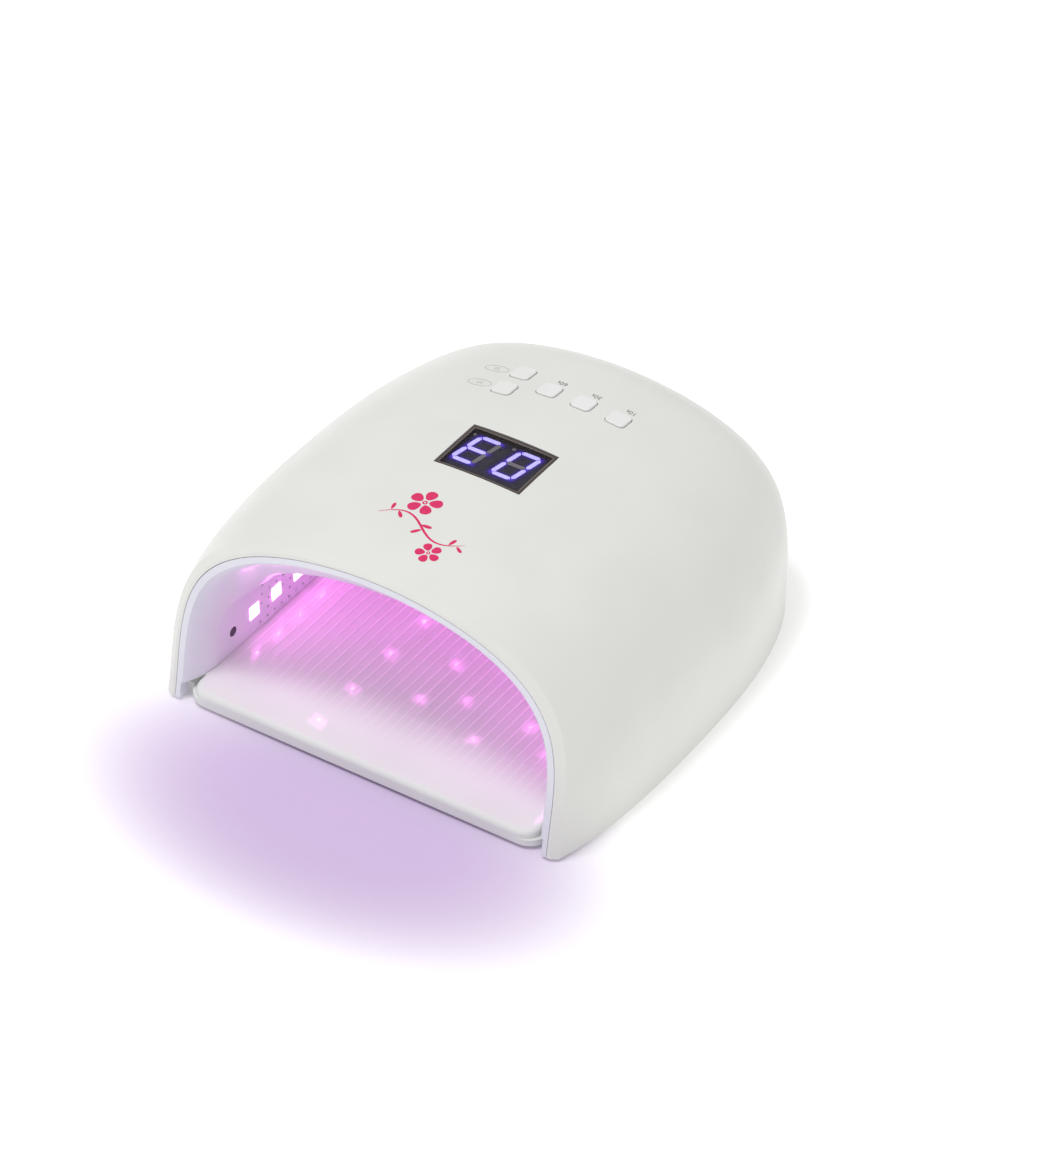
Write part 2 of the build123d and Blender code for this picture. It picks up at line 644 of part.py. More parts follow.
# ---------------------------------------------------------------- base tray
def tray_form(grow, low, high, step_in=0.0):
    """Tray outline with its front tongue, grown all round, its tongue corners rounded."""
    half = TONGUE_HALF_WIDTH + grow - step_in
    form = plan_solid(TRAY_INSET - grow + step_in, EAR_FRONT_T - grow, low, high,
                      tongue=(half, TONGUE_FRONT_T - grow), rear_inset=TRAY_REAR_INSET - grow)
    return form


def tray_pocket():
    """Space that the housing leaves for the tray."""
    pocket = tray_form(TRAY_CLEARANCE, -2.0, FLANGE_Z)
    front = box(-TONGUE_HALF_WIDTH - 2, TONGUE_HALF_WIDTH + 2, -150, y_of(EAR_FRONT_T), -2, FLANGE_Z)
    return pocket + front


def round_tongue(solid, radius):
    """Rounds the two front corners in plan."""
    corners = solid.edges().filter_by(Axis.Z).sort_by(Axis.Y)[:2]
    return fillet(corners, radius)


def tongue_edges(face):
    """Edges of a face along the tongue's front and rounded corners."""
    return face.edges().filter_by(lambda edge: edge.center().Y < y_of(EAR_FRONT_T) - 4)


def base_tray():
    """Moulded tray with a ribbed top, hollow below, with bosses for feet and magnets."""
    lower = round_tongue(tray_form(0.0, TRAY_BOTTOM_Z, TRAY_STEP_Z), TONGUE_RADIUS)
    upper = round_tongue(tray_form(0.0, TRAY_STEP_Z - 1, TRAY_TOP_Z, TRAY_STEP_IN), TONGUE_RADIUS - 1)
    upper = fillet(tongue_edges(upper.faces().sort_by(Axis.Z)[-1]), 2.6)
    lower = fillet(tongue_edges(lower.faces().sort_by(Axis.Z)[0]), 1.2)
    hollow = plan_solid(TRAY_INSET + TRAY_STEP_IN + TRAY_WALL, EAR_FRONT_T + 3, -1, TRAY_TOP_Z - TRAY_SKIN,
                        tongue=(TONGUE_HALF_WIDTH - TRAY_WALL - TRAY_STEP_IN - 2, TONGUE_FRONT_T + 5),
                        rear_inset=TRAY_REAR_INSET + TRAY_WALL + TRAY_STEP_IN)
    tray = lower + upper - hollow
    for x, t in mirrored(FOOT_PLACES):
        tray += rod(x, y_of(t), TRAY_BOTTOM_Z, TRAY_TOP_Z - 1, FOOT_RADIUS + 1.5)
        tray -= rod(x, y_of(t), -1, FOOT_THICK, FOOT_RADIUS)
    for x, t in mirrored(MAGNET_PLACES):
        tray += rod(x, y_of(t), TRAY_BOTTOM_Z, TRAY_TOP_Z - 1, MAGNET_RADIUS + 1.5) & tray_form(0, 0, 10)
        tray -= rod(x, y_of(t), -1, TRAY_TOP_Z - 0.8, MAGNET_RADIUS)
    half = RIDGE_WIDTH / 2
    for k in range(RIDGE_COUNT):
        x = (k - (RIDGE_COUNT - 1) / 2) * RIDGE_PITCH
        tray += box(x - half, x + half, y_of(38), y_of(180), TRAY_TOP_Z - 0.3, TRAY_TOP_Z + RIDGE_HEIGHT)
    return tray


def rubber_feet():
    """Feet pressed into the tray's bosses."""
    return [rod(x, y_of(t), 0.0, FOOT_THICK, FOOT_RADIUS - 0.05) for x, t in mirrored(FOOT_PLACES)]


def tray_magnets():
    """Disc magnets at the top of their wells."""
    high = TRAY_TOP_Z - 0.8
    return [rod(x, y_of(t), high - MAGNET_THICK, high, MAGNET_RADIUS - 0.05)
            for x, t in mirrored(MAGNET_PLACES)]


# ---------------------------------------------------------------- write the pieces
def all_parts():
    """Every node's name and shape."""
    body = outer_body()
    pocket = tray_pocket()
    lit, unlit = segments()
    parts = {
        "top_shell": top_shell(body, pocket),
        "inner_liner": inner_liner(pocket),
        "display_window": display_window(body),
        "display_bezel": display_bezel(),
        "display_module": display_module(),
        "lit_segments": lit,
        "unlit_segments": unlit,
        "control_board": control_board(),
        "board_screws": board_screws(),
        "tact_switches": tact_switches(),
        "buzzer": buzzer(),
        "led_chips": led_chips(),
        "led_windows": led_windows(),
        "left_ir_sensor": sensor(-1),
        "right_ir_sensor": sensor(1),
        "battery_cells": battery_cells(),
        "battery_holder": battery_holder(),
        "charging_jack": charging_jack(),
        "charging_board": charging_board(),
        "shell_screws": shell_screws(),
        "steel_discs": steel_discs(),
        "base_tray": base_tray(),
        "rubber_feet": rubber_feet(),
        "tray_magnets": tray_magnets(),
    }
    parts.update(led_boards())
    for name, (x, y) in button_places().items():
        plane = crown_plane(x, y)
        parts["button_" + name] = button_cap(plane)
        parts["plunger_" + name] = switch_plunger(plane)
    return parts


os.makedirs("parts", exist_ok=True)
for node, shape in all_parts().items():
    pieces = shape if isinstance(shape, list) else [shape]
    export_step(Compound(children=pieces) if len(pieces) > 1 else pieces[0], "parts/" + node + ".step")
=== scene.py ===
import json
from math import radians

import bpy
import numpy as np
from mathutils import Matrix, Vector


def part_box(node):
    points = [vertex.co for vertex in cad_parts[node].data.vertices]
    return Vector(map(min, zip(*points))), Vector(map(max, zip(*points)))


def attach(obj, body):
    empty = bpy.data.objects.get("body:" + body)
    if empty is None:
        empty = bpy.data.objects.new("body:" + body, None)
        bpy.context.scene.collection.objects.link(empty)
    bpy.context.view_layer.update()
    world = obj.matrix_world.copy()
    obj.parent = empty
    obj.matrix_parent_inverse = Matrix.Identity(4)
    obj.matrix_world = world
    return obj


# Nail curing lamp: gloss white arched housing on a magnetic tray, violet LEDs lit, the timer showing 03.
# Metres.  X is across the lamp, +Y points to its rear, +Z is up, and the table is at z = 0.

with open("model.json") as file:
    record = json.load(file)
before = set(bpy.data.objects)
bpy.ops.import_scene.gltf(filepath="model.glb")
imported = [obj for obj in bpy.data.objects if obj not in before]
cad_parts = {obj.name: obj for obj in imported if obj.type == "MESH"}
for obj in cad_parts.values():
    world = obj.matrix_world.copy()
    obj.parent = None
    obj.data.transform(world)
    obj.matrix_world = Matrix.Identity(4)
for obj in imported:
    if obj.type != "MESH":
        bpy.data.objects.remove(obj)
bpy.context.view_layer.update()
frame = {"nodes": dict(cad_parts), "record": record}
NODES = frame["nodes"]
MM = 0.001

LENS_POWER = 8.2                # glow of an LED's square lens
CORE_POWER = 46.0               # glow of the hot core on it
CORE_RADIUS = 1.2 * MM
CORE_LIFT = 0.04 * MM

RIDGE_PITCH = 4.6 * MM          # the tray's ridges, one of them at x = 0
RIDGE_FOOT_Z = 9.03 * MM
RIDGE_TOP_Z = 9.16 * MM

PRINT_DROP_Z = 0.12             # flat prints are drawn here, above the lamp, and pressed down on to it
PRINT_LIFT = 0.04 * MM
BORDER_LIFT = 0.03 * MM
BORDER_GAP = 0.1 * MM
BORDER_WIDTHS = (0.0014, 0.0010, 0.0005, 0.0017)            # left, right, front, rear
BORDER_LINE_WIDTHS = (0.0003, 0.0003, 0.0002, 0.0003)
SIGN_PLACES = ((-0.0396, 0.0435), (-0.0398, 0.0575))        # low heat, power
SIGN_RADII = (6.0 * MM, 2.6 * MM)
SIGN_LINE = 0.25 * MM
SIGN_BOLD_LINE = 0.28 * MM
LEGEND_PLACES = (("10s", 0.02655), ("30s", 0.00885), ("60s", -0.00885))
LEGEND_Y = 0.0601
LEGEND_SHIFT = 0.0015
LEGEND_HEIGHT = 2.6 * MM

STEM_START = (-0.023, -0.0585)
STEM_LENGTH = 0.044
STEM_SWING = 5.2 * MM

SPILL_CENTRE = (0.01, -0.137)   # the painted pool of the light that leaves the mouth, on the table
SPILL_RADII = (0.103, 0.061)

CAMERA_PLACE = (0.85485, -1.28787, 1.25558)
CAMERA_FORWARD = (-0.42899, 0.65581, -0.62119)
CAMERA_RIGHT = (0.83686, 0.54742, 0.0)
CAMERA_LENS = 139.49
LAMP_MIDDLE = (0.0, 0.0, 0.05)


# ---------------------------------------------------------------- shader sums
class Field:
    """A value in a material's nodes; ordinary sums on it add Math nodes."""

    def __init__(self, finish, socket):
        self.finish = finish
        self.socket = socket

    def __add__(self, other):
        return self.finish.sum("ADD", self, other)

    def __sub__(self, other):
        return self.finish.sum("SUBTRACT", self, other)

    def __rsub__(self, other):
        return self.finish.sum("SUBTRACT", other, self)

    def __mul__(self, other):
        return self.finish.sum("MULTIPLY", self, other)

    def __truediv__(self, other):
        return self.finish.sum("DIVIDE", self, other)

    __radd__ = __add__
    __rmul__ = __mul__

    def rise(self, low, high):
        """0 below low, 1 above high and a soft step between them."""
        settings = {"interpolation_type": "SMOOTHSTEP", "clamp": True}
        sockets = {"Value": self, "From Min": low, "From Max": high}
        return self.finish.node("ShaderNodeMapRange", settings, sockets)


class Finish:
    """One material: a Principled BSDF, with a method that adds any other node."""

    def __init__(self, name, **constants):
        self.material = bpy.data.materials.new(name)
        self.material.use_nodes = True
        self.tree = self.material.node_tree
        self.shader = self.tree.nodes["Principled BSDF"]
        self.place = None
        self.set(**constants)

    def set(self, **sockets):
        """Feeds the shader's sockets; an underscore in a name stands for a space."""
        for name, value in sockets.items():
            self.feed(self.shader.inputs[name.replace("_", " ")], value)

    def feed(self, socket, value):
        if isinstance(value, Field):
            self.tree.links.new(value.socket, socket)
        else:
            socket.default_value = value

    def node(self, kind, settings, sockets, output=0):
        """Adds a node: settings first, then the values or links of its sockets."""
        made = self.tree.nodes.new(kind)
        for name, value in settings.items():
            setattr(made, name, value)
        for name, value in sockets.items():
            self.feed(made.inputs[name], value)
        return Field(self, made.outputs[output])

    def sum(self, operation, *values):
        """One Math node on numbers and fields."""
        return self.node("ShaderNodeMath", {"operation": operation}, dict(enumerate(values)))

    def point(self):
        """Object coordinates in metres."""
        if self.place is None:
            self.place = self.node("ShaderNodeTexCoord", {}, {}, "Object")
        return self.place

    def axes(self):
        """The three coordinates as separate fields."""
        split = self.node("ShaderNodeSeparateXYZ", {}, {0: self.point()})
        outputs = split.socket.node.outputs
        return [Field(self, outputs[k]) for k in range(3)]

    def stretched(self, scale):
        """Object coordinates scaled along each axis, for brushed or drawn patterns."""
        return self.node("ShaderNodeMapping", {}, {"Vector": self.point(), "Scale": scale})

    def noise(self, size, detail=3.0, rough=0.55, vector=None):
        """Cloudy noise whose lumps are about size metres across."""
        sockets = {"Vector": vector or self.point(), "Scale": 1 / size, "Detail": detail, "Roughness": rough}
        return self.node("ShaderNodeTexNoise", {}, sockets)

    def mix(self, factor, first, second):
        """Colour between two colours."""
        sockets = {0: factor, 6: first, 7: second}
        return self.node("ShaderNodeMix", {"data_type": "RGBA"}, sockets, 2)

    def bump(self, height, depth):
        """Normal disturbed by height, which is 0 to 1 over depth metres."""
        return self.node("ShaderNodeBump", {}, {"Strength": 1.0, "Distance": depth, "Height": height})


def shade(red, green, blue):
    """Linear colour from display values of 0 to 255."""
    display = np.array((red, green, blue)) / 255
    linear = np.where(display <= 0.04045, display / 12.92, ((display + 0.055) / 1.055) ** 2.4)
    return (*linear.tolist(), 1.0)


# ---------------------------------------------------------------- finishes
def moulded(name, colour, deep, roughness, peel, coat=0.0, grain=0.0):
    """Moulded plastic: faint flow clouds and specks, handling haze, and an orange-peel surface whose swells
    are peel metres high, with fine grain on them."""
    finish = Finish(name, Coat_Roughness=0.06, IOR=1.48)
    clouds = finish.noise(0.045, 2.0).rise(0.35, 0.7)
    specks = finish.noise(0.0011, 2.0, 0.7).rise(0.72, 0.8)
    haze = finish.noise(0.018, 5.0, 0.62).rise(0.42, 0.75)
    base = finish.mix(clouds, colour, deep)
    base = finish.mix(specks * 0.25, base, tuple(0.82 * c for c in deep[:3]) + (1.0,))
    swell = finish.noise(0.0042, 1.0) + grain * finish.noise(0.00035, 1.0)
    finish.set(Base_Color=base, Roughness=roughness + 0.09 * haze, Coat_Weight=coat * (1 - 0.4 * haze),
               Normal=finish.bump(swell, peel))
    return finish


def shell_finish():
    """White housing with a soft gloss."""
    return moulded("shell_white", shade(233, 234, 229), shade(230, 231, 226), 0.34, 0.00003, coat=0.1)


def liner_finish():
    """Cool white reflective liner."""
    return moulded("liner_white", shade(234, 235, 242), shade(229, 230, 239), 0.36, 0.00003, coat=0.06)


def tray_finish():
    """White tray with faint clouds and short scuffs along the way a hand slides in.  Its ridge tops carry a
    painted
    highlight: white lines that run on past their front ends and fade out towards the edge."""
    finish = Finish("tray_white", IOR=1.33)
    x, y, height = finish.axes()
    # painted highlight: white on the ridge tops and in lines at the ridge pitch, fading out towards the
    # front
    lines = finish.sum("COSINE", x * (2 * np.pi / RIDGE_PITCH)).rise(0.85, 0.94)
    ridge_highlights = finish.sum("MAXIMUM", lines, height.rise(RIDGE_FOOT_Z, RIDGE_TOP_Z)) * y.rise(-0.1, -0.048)
    scuffs = finish.noise(0.0012, 2.0, 0.6, finish.stretched((1.0, 0.12, 1.0))).rise(0.7, 0.8)
    clouds = finish.noise(0.05, 2.0).rise(0.35, 0.7)
    haze = finish.noise(0.02, 4.0, 0.6).rise(0.42, 0.75)
    base = finish.mix(clouds, shade(232, 234, 231), shade(229, 230, 228))
    base = finish.mix(ridge_highlights, base, shade(255, 255, 255))
    finish.set(Base_Color=base, Roughness=0.045 + 0.03 * haze + 0.08 * scuffs,
               Normal=finish.bump(finish.noise(0.005, 1.0), 0.00002))
    return finish


def button_finish():
    """Satin white keys, a shade cleaner than the housing."""
    return moulded("button_white", shade(240, 241, 240), shade(237, 238, 236), 0.3, 0.00003, grain=0.15)


def lens_finish():
    """Smoked display lens, clear enough to read the bars through."""
    finish = Finish("lens_smoked", IOR=1.5)
    smears = finish.noise(0.009, 5.0, 0.65).rise(0.45, 0.8)
    dust = finish.noise(0.0006, 2.0, 0.6).rise(0.74, 0.8)
    base = finish.mix(dust * 0.5, shade(58, 50, 54), shade(150, 146, 146))
    finish.set(Base_Color=base, Roughness=0.06 + 0.1 * smears, Alpha=0.16 + 0.05 * smears + 0.2 * dust)
    return finish


def dark_plastic(name, colour, worn, roughness, size=0.0008):
    """Dark moulded plastic with a fine spark texture and paler handling marks."""
    finish = Finish(name, IOR=1.46)
    grain = finish.noise(size, 2.0, 0.6)
    rub = finish.noise(0.012, 4.0, 0.6).rise(0.5, 0.78)
    finish.set(Base_Color=finish.mix(rub * 0.5, colour, worn), Roughness=roughness + 0.14 * rub,
               Normal=finish.bump(grain, 0.00005))
    return finish


def lit_finish():
    """Violet bars, their glow a little uneven."""
    finish = Finish("lit_blue", Base_Color=shade(120, 100, 220), Roughness=0.4, Emission_Strength=1.35)
    flicker = finish.noise(0.0022, 1.0).rise(0.25, 0.8)
    glow = finish.mix(flicker, shade(184, 177, 252), shade(200, 196, 255))
    finish.set(Emission_Color=glow)
    return finish


def unlit_finish():
    """Milky grey bars that stay dark."""
    finish = Finish("segment_grey", Roughness=0.45)
    milk = finish.noise(0.0012, 3.0).rise(0.3, 0.75)
    finish.set(Base_Color=finish.mix(milk, shade(146, 140, 146), shade(160, 154, 160)))
    return finish


def led_lens_finish():
    """Lit square LED lenses, violet-pink in what they light."""
    return led_light("led_lens", LENS_POWER)


def led_light(name, power):
    """Glowing diffuser: white-hot to the eye, its light a violet pink that varies from cell to cell."""
    finish = Finish(name, Base_Color=shade(245, 235, 250), Roughness=0.3, Emission_Strength=power)
    cell = finish.noise(0.0015, 1.0).rise(0.2, 0.8)
    finish.set(Emission_Color=finish.mix(cell, (1.0, 0.18, 0.86, 1.0), (1.0, 0.23, 0.91, 1.0)))
    return finish


def board_finish():
    """Green solder mask with copper tracks showing through as a paler weave."""
    finish = Finish("board_green", IOR=1.5)
    tracks = finish.node("ShaderNodeTexBrick", {"offset": 0.37}, {
        "Vector": finish.point(), "Scale": 160.0,
        "Mortar Size": 0.035, "Brick Width": 0.9, "Row Height": 0.3,
        "Color1": shade(18, 96, 52), "Color2": shade(14, 84, 46), "Mortar": shade(38, 132, 74)})
    grime = finish.noise(0.004, 4.0).rise(0.5, 0.75)
    finish.set(Base_Color=finish.mix(grime * 0.3, tracks, shade(10, 58, 34)), Roughness=0.32 + 0.15 * grime)
    return finish


def metal(name, colour, dull, roughness, grain_scale):
    """Bare metal with drawn grain and dull patches."""
    finish = Finish(name)
    drawn = finish.noise(0.0006, 2.0, 0.6, finish.stretched(grain_scale))
    patches = finish.noise(0.003, 4.0).rise(0.45, 0.75)
    finish.set(Base_Color=finish.mix(patches * 0.6, colour, dull), Metallic=1.0 - 0.12 * patches,
               Roughness=roughness + 0.2 * patches, Normal=finish.bump(drawn, 0.00002))
    return finish


def chip_finish():
    """Phosphor-yellow LED chips."""
    finish = Finish("led_yellow", Roughness=0.35)
    phosphor = finish.noise(0.0007, 3.0).rise(0.3, 0.7)
    finish.set(Base_Color=finish.mix(phosphor, shade(236, 214, 84), shade(214, 184, 52)))
    return finish


def wrap_finish():
    """Shrink-wrapped cells with slight wrinkles."""
    finish = Finish("cell_wrap", IOR=1.5)
    wrinkle = finish.noise(0.0016, 3.0, 0.6, finish.stretched((0.15, 1.0, 1.0)))
    patches = finish.noise(0.012, 3.0).rise(0.4, 0.75)
    finish.set(Base_Color=finish.mix(patches, shade(38, 92, 158), shade(30, 76, 138)),
               Roughness=0.3 + 0.15 * patches, Normal=finish.bump(wrinkle, 0.00008))
    return finish


def dress_nodes():
    """Puts each slot's finish on the CAD pieces that use it; the display's body and frame have their own."""
    finishes = {
        "shell_white": shell_finish(), "liner_white": liner_finish(), "tray_white": tray_finish(),
        "button_white": button_finish(), "lens_smoked": lens_finish(),
        "black_plastic": dark_plastic("black_plastic", shade(52, 44, 44), shade(74, 66, 66), 0.42),
        "lit_blue": lit_finish(), "segment_grey": unlit_finish(), "board_green": board_finish(),
        "board_aluminium": metal("board_aluminium", shade(206, 208, 212), shade(176, 178, 182), 0.34,
                                 (0.1, 1.0, 1.0)),
        "led_yellow": chip_finish(), "led_lens": led_lens_finish(),
        "sensor_dark": dark_plastic("sensor_dark", shade(66, 54, 72), shade(92, 80, 98), 0.25),
        "cell_wrap": wrap_finish(),
        "screw_steel": metal("screw_steel", shade(196, 196, 198), shade(150, 150, 152), 0.28,
                             (1.0, 1.0, 0.2)),
        "magnet_nickel": metal("magnet_nickel", shade(210, 206, 198), shade(170, 164, 154), 0.2,
                               (1.0, 1.0, 1.0)),
        "rubber_black": dark_plastic("rubber_black", shade(34, 34, 36), shade(62, 60, 58), 0.72, 0.0005),
        "plunger_black": dark_plastic("plunger_black", shade(36, 36, 40), shade(60, 60, 64), 0.4),
    }
    bezel = dark_plastic("bezel_brown", shade(84, 74, 70), shade(112, 100, 94), 0.4)
    module = dark_plastic("module_slate", shade(50, 49, 62), shade(64, 63, 76), 0.5)
    own = {"display_module": module, "display_bezel": bezel}
    for name, piece in NODES.items():
        finish = own[name] if name in own else finishes[slot_of(name)]
        for k in range(len(piece.material_slots)):
            piece.material_slots[k].material = finish.material


def slot_of(node):
    """The record's material slot of a CAD piece."""
    return next(part["material_slot"] for part in frame["record"]["subparts"] if part["node"] == node)


# ---------------------------------------------------------------- surfaces
def surface(name, points, faces, attribute=None):
    """Mesh object at the origin from an (n, 3) array of points and an array of faces."""
    mesh = bpy.data.meshes.new(name)
    mesh.from_pydata(points.tolist(), [], faces.tolist())
    if attribute:
        label, values = attribute
        mesh.attributes.new(label, "FLOAT", "POINT").data.foreach_set("value", values.ravel())
    mesh.polygons.foreach_set("use_smooth", np.ones(len(mesh.polygons), dtype=bool))
    mesh.update()
    piece = bpy.data.objects.new(name, mesh)
    bpy.context.scene.collection.objects.link(piece)
    return piece


def grid_faces(rows, columns):
    """Quads of a grid of points stored row by row, each wound so that row x column points up."""
    corner = (np.arange(rows - 1)[:, None] * columns + np.arange(columns - 1)[None, :]).ravel()
    return np.stack([corner, corner + columns, corner + columns + 1, corner + 1], axis=1)


def wear(piece, finish, body):
    """Gives a new piece its finish and the CAD body it rides on."""
    piece.data.materials.clear()
    piece.data.materials.append(finish.material)
    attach(piece, body)


def drawn_flat(flat):
    """Points of a print from (n, 2) places, at the height from which prints are pressed down."""
    return np.column_stack([flat, np.full(len(flat), PRINT_DROP_Z)])


def laid_on(piece, node, lift):
    """Presses a flat print down on a CAD piece, lift above its skin, and keeps the result as its mesh."""
    wrap = piece.modifiers.new("wrap", "SHRINKWRAP")
    wrap.target = NODES[node]
    wrap.wrap_method = "PROJECT"
    wrap.use_project_z = True
    wrap.use_negative_direction = True
    wrap.use_positive_direction = False
    wrap.offset = lift
    bpy.context.view_layer.update()
    pressed = bpy.data.meshes.new_from_object(piece.evaluated_get(bpy.context.evaluated_depsgraph_get()))
    piece.modifiers.clear()
    piece.data = pressed
    return piece


def ribbon(centre, width):
    """Flat band along a line of (n, 2) points: each point, moved half the width to both sides of its
    heading."""
    heading = np.gradient(centre, axis=0)
    heading /= np.linalg.norm(heading, axis=1)[:, None]
    side = np.stack([-heading[:, 1], heading[:, 0]], axis=1) * (width / 2)[:, None]
    flat = np.stack([centre + side, centre - side], axis=1).reshape(-1, 2)
    return drawn_flat(flat), grid_faces(len(centre), 2)


def joined(parts):
    """One set of points and quads from several."""
    starts = np.cumsum([0] + [len(points) for points, _ in parts[:-1]])
    points = np.concatenate([points for points, _ in parts])
    faces = np.concatenate([quads + start for (_, quads), start in zip(parts, starts)])
    return points, faces


def circle(centre, radius_x, radius_y, start=0.0, stop=360.0, count=49):
    """Points of an ellipse's arc between two angles in degrees."""
    angle = np.radians(np.linspace(start, stop, count))
    return np.column_stack([centre[0] + radius_x * np.cos(angle), centre[1] + radius_y * np.sin(angle)])


def line(start, stop, count=7):
    """Points along a straight line."""
    return np.linspace(start, stop, count)


def stroke(centre, width):
    """Ribbon of even width."""
    return ribbon(centre, np.full(len(centre), width))


def petal(centre, angle, reach, fatness, rings=9, spokes=33):
    """Filled egg-shaped petal along a heading, between two reaches from its centre.
    Along it u = (1 - cos pi s) / 2, and its half width is fatness (0.75 + 0.5 u) sin pi s."""
    s = np.linspace(0.0, 1.0, spokes)
    along = (1 - np.cos(np.pi * s)) / 2
    half = fatness * (0.75 + 0.5 * along) * np.sin(np.pi * s)
    u = np.repeat((reach[0] + (reach[1] - reach[0]) * along)[:, None], rings, axis=1)
    v = half[:, None] * np.linspace(-1.0, 1.0, rings)[None, :]
    x = centre[0] + np.cos(angle) * u - np.sin(angle) * v
    y = centre[1] + np.sin(angle) * u + np.cos(angle) * v
    return drawn_flat(np.stack([x.ravel(), y.ravel()], axis=1)), grid_faces(spokes, rings)[:, ::-1]


# ---------------------------------------------------------------- prints
def print_finish(name, colour, deep):
    """Pad-printed ink, a little thin in places."""
    finish = Finish(name, IOR=1.45)
    thin = finish.noise(0.0008, 3.0, 0.6).rise(0.4, 0.8)
    finish.set(Base_Color=finish.mix(thin, colour, deep), Roughness=0.35 + 0.1 * thin)
    return finish


def blossom(centre, size, turn):
    """Five petals that stand clear of a small ring of stamens."""
    parts = [petal(centre, radians(72 * k + turn), (0.24 * size, size), 0.32 * size) for k in range(5)]
    return parts + [stroke(circle(centre, 0.11 * size, 0.11 * size), 0.09 * size)]


def stem_at(s):
    """Points along the stem at shares s of its length: one full sine wave about its start's y."""
    x, y = STEM_START
    return np.column_stack([x + STEM_LENGTH * s, y + STEM_SWING * np.sin(2 * np.pi * s)])


def ornament():
    """Blossom spray printed ahead of the display: a waving stem, six leaves and two five-petal flowers."""
    s = np.linspace(0.0, 1.0, 120)
    parts = [ribbon(stem_at(s), 0.0009 * (0.2 + np.sin(np.pi * s)))]
    parts += blossom((-0.0085, -0.0447), 0.0078, 18) + blossom((0.0105, -0.0704), 0.0058, 54)
    leaves = ((0.10, 100, 0.0050), (0.17, -45, 0.0052), (0.47, 5, 0.0056), (0.53, -130, 0.0054),
              (0.86, 75, 0.0050), (0.93, -30, 0.0046))
    for share, angle, size in leaves:
        foot = stem_at(np.array([share]))[0]
        parts.append(petal(foot, radians(angle), (0.0006, size), 0.16 * size))
    points, faces = joined(parts)
    return surface("blossom_print", points, faces)


def key_icons():
    """Oval-framed generic signs beside the stacked keys: a power sign, and three waves of warmth."""
    parts = []
    for centre in SIGN_PLACES:
        parts.append(stroke(circle(centre, *SIGN_RADII, count=65), SIGN_LINE))
    x, y = SIGN_PLACES[1]
    parts.append(stroke(circle((x, y), 0.0011, 0.0011, -50, 230, 33), SIGN_BOLD_LINE))
    parts.append(stroke(line((x, y + 0.0002), (x, y - 0.0014)), SIGN_BOLD_LINE))
    x, y = SIGN_PLACES[0]
    rise = np.linspace(-1.0, 1.0, 25)
    for offset in (-0.0011, 0.0, 0.0011):
        wave = np.column_stack([x + offset + 0.0003 * np.sin(rise * np.pi), y + 0.0010 * rise])
        parts.append(stroke(wave, SIGN_LINE))
    points, faces = joined(parts)
    return surface("key_signs", points, faces)


def legend(name, words, centre, height):
    """Small figures that read from the rear, turned half round and centred on a point."""
    curve = bpy.data.curves.new(name, "FONT")
    curve.body = words
    curve.align_x = "CENTER"
    curve.align_y = "CENTER"
    curve.size = height / 0.7
    writer = bpy.data.objects.new(name + "_words", curve)
    bpy.context.scene.collection.objects.link(writer)
    bpy.context.view_layer.update()
    mesh = bpy.data.meshes.new_from_object(writer)
    bpy.data.objects.remove(writer)
    count = len(mesh.vertices)
    flat = np.empty(count * 3)
    mesh.vertices.foreach_get("co", flat)
    flat = flat.reshape(count, 3)
    mesh.vertices.foreach_set("co", drawn_flat(np.array(centre) - flat[:, :2]).ravel())
    mesh.update()
    piece = bpy.data.objects.new(name, mesh)
    bpy.context.scene.collection.objects.link(piece)
    return piece


def add_prints():
    """Every print on the housing."""
    pale = print_finish("print_pale", shade(168, 168, 170), shade(186, 186, 188))
    grey = print_finish("print_grey", shade(112, 112, 114), shade(136, 136, 138))
    pink = print_finish("print_pink", shade(222, 34, 98), shade(232, 62, 120))
    pieces = [(ornament(), pink), (key_icons(), pale)]
    for words, x in LEGEND_PLACES:
        pieces.append((legend("legend_" + words, words, (x + LEGEND_SHIFT, LEGEND_Y), LEGEND_HEIGHT), grey))
    for piece, finish in pieces:
        laid_on(piece, "top_shell", PRINT_LIFT)
        wear(piece, finish, "housing")


# ---------------------------------------------------------------- LED cores
def led_faces():
    """Centre of each LED lens's lit face, and the way it points, into the cavity.  A lens is the corners
    that its triangles join: each corner takes the lowest number it can reach.  It points along its thinnest
    axis."""
    mesh = NODES["led_windows"].data
    corners = np.array([vertex.co for vertex in mesh.vertices])
    points, which = np.unique(corners.round(6), axis=0, return_inverse=True)
    triangles = which.ravel()[np.array([face.vertices[:] for face in mesh.polygons])]
    lens = np.arange(len(points))
    for _ in range(8):
        np.minimum.at(lens, triangles.ravel(), np.repeat(lens[triangles].min(axis=1), triangles.shape[1]))
    for k in np.unique(lens):
        box = points[lens == k]
        centre = box.mean(axis=0)
        normal = np.linalg.svd(box - centre)[2][2]
        normal *= np.sign(normal @ (np.array((0.0, centre[1], 0.03)) - centre))
        yield centre + normal * np.abs((box - centre) @ normal).max(), normal


